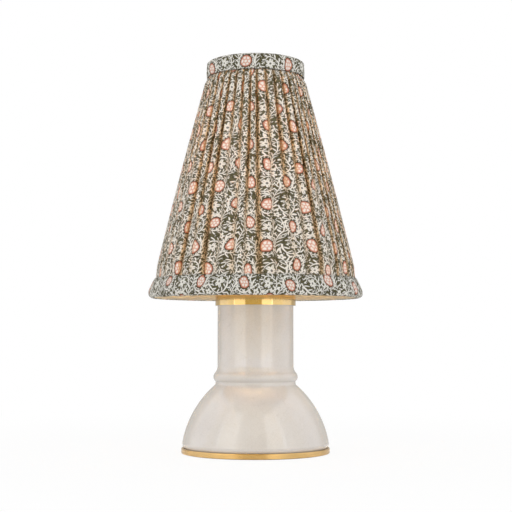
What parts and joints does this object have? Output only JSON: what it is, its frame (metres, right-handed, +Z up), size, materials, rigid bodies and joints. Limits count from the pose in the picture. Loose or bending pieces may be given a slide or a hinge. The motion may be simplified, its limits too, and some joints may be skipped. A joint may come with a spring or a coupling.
{
  "type": "table lamp",
  "caption": "Table lamp: bell-footed glazed ceramic body with a brass cap and foot ring, harp, switched screw socket, frosted bulb and a tall gathered fabric cone shade on a spider.",
  "frame": {"origin": "centre of the foot on the table plane, on the lamp's axis", "axes": "+Z up along the lamp's axis, -Y is the front where the switch knob points, the harp's legs lie along X and the cord leaves at +Y"},
  "size_m": [0.229, 0.229, 0.4236],
  "materials": {
    "felt": "matte felt",
    "brass": "satin, lacquered",
    "glaze": "gloss crackle glaze",
    "rubber": "matte",
    "steel": "zinc plated",
    "card": "matte insulating card",
    "phenolic": "moulded phenolic",
    "bulb_insulation": "black vitrite",
    "bulb_metal": "bright rolled",
    "bulb_glass": "inside frosted, lit",
    "clear_glass": "clear",
    "lining": "cream lining cloth",
    "printed_cloth": "printed cotton, gathered"
  },
  "bodies": {
    "base": {"felt_pad": "felt", "foot_dish": "brass", "ceramic_body": "glaze", "cord_grommet": "rubber", "bottom_washer": "steel", "bottom_nut": "steel", "lamp_pipe": "steel", "neck_grommet": "rubber", "cap_gasket": "rubber", "neck_cap": "brass", "socket_riser": "brass", "harp_saddle": "steel", "saddle_nut": "brass", "socket_cap": "brass", "set_screw": "steel", "socket_shell": "brass", "socket_liner": "card", "socket_block": "phenolic", "screw_shell": "brass", "centre_contact": "brass", "terminal_screws": "steel"},
    "switch": {"switch_knob": "phenolic", "switch_shaft": "steel", "switch_cam": "phenolic"},
    "bulb_tip": {"bulb_contact": "steel", "bulb_insulator": "bulb_insulation"},
    "bulb": {"bulb_cap": "bulb_metal", "bulb_glass": "bulb_glass", "bulb_stem": "clear_glass", "bulb_filament": "steel"},
    "harp": {"harp_wire": "steel", "harp_bridge": "brass"},
    "sleeve_left": {"harp_sleeve_left": "brass"},
    "sleeve_right": {"harp_sleeve_right": "brass"},
    "harp_swivel": {"harp_swivel": "brass"},
    "shade": {"shade_spider": "steel", "shade_top_ring": "steel", "shade_bottom_ring": "steel", "shade_ribs": "steel", "shade_lining": "lining", "shade_cover": "printed_cloth", "shade_top_band": "printed_cloth", "shade_bottom_band": "printed_cloth"},
    "finial_insert": {"finial_insert": "brass"},
    "finial": {"finial": "brass"}
  },
  "joints": [
    {"name": "switch_turn", "type": "hinge", "parent": "base", "child": "switch", "pos_m": [0, -0.024, 0.21415], "axis": [0, -1, 0], "continuous": true},
    {"name": "bulb_rise", "type": "slide", "parent": "base", "child": "bulb_tip", "axis": [0, 0, 1], "range_m": [0, 0.0256]},
    {"name": "bulb_turn", "type": "hinge", "parent": "bulb_tip", "child": "bulb", "pos_m": [0, 0, 0.225], "axis": [0, 0, 1], "range_deg": [0, 2520]},
    {"name": "harp_lift", "type": "slide", "parent": "base", "child": "harp", "axis": [0, 0, 1], "range_m": [0, 0.02]},
    {"name": "sleeve_left_lift", "type": "slide", "parent": "harp", "child": "sleeve_left", "axis": [0, 0, 1], "range_m": [0, 0.01]},
    {"name": "sleeve_right_lift", "type": "slide", "parent": "harp", "child": "sleeve_right", "axis": [0, 0, 1], "range_m": [0, 0.01]},
    {"name": "shade_swivel", "type": "hinge", "parent": "harp", "child": "harp_swivel", "pos_m": [0, 0, 0.395], "axis": [0, 0, 1], "continuous": true},
    {"name": "shade_lift", "type": "slide", "parent": "harp_swivel", "child": "shade", "axis": [0, 0, 1], "range_m": [0, 0.265]},
    {"name": "finial_rise", "type": "slide", "parent": "shade", "child": "finial_insert", "axis": [0, 0, 1], "range_m": [0, 0.0092]},
    {"name": "finial_turn", "type": "hinge", "parent": "finial_insert", "child": "finial", "pos_m": [0, 0, 0.401], "axis": [0, 0, 1], "range_deg": [0, 3450]}
  ],
  "couplings": [
    {"joint": "bulb_rise", "follows": "bulb_turn", "m_per_rad": 0.00057758},
    {"joint": "finial_rise", "follows": "finial_turn", "m_per_rad": 0.0001496}
  ]
}
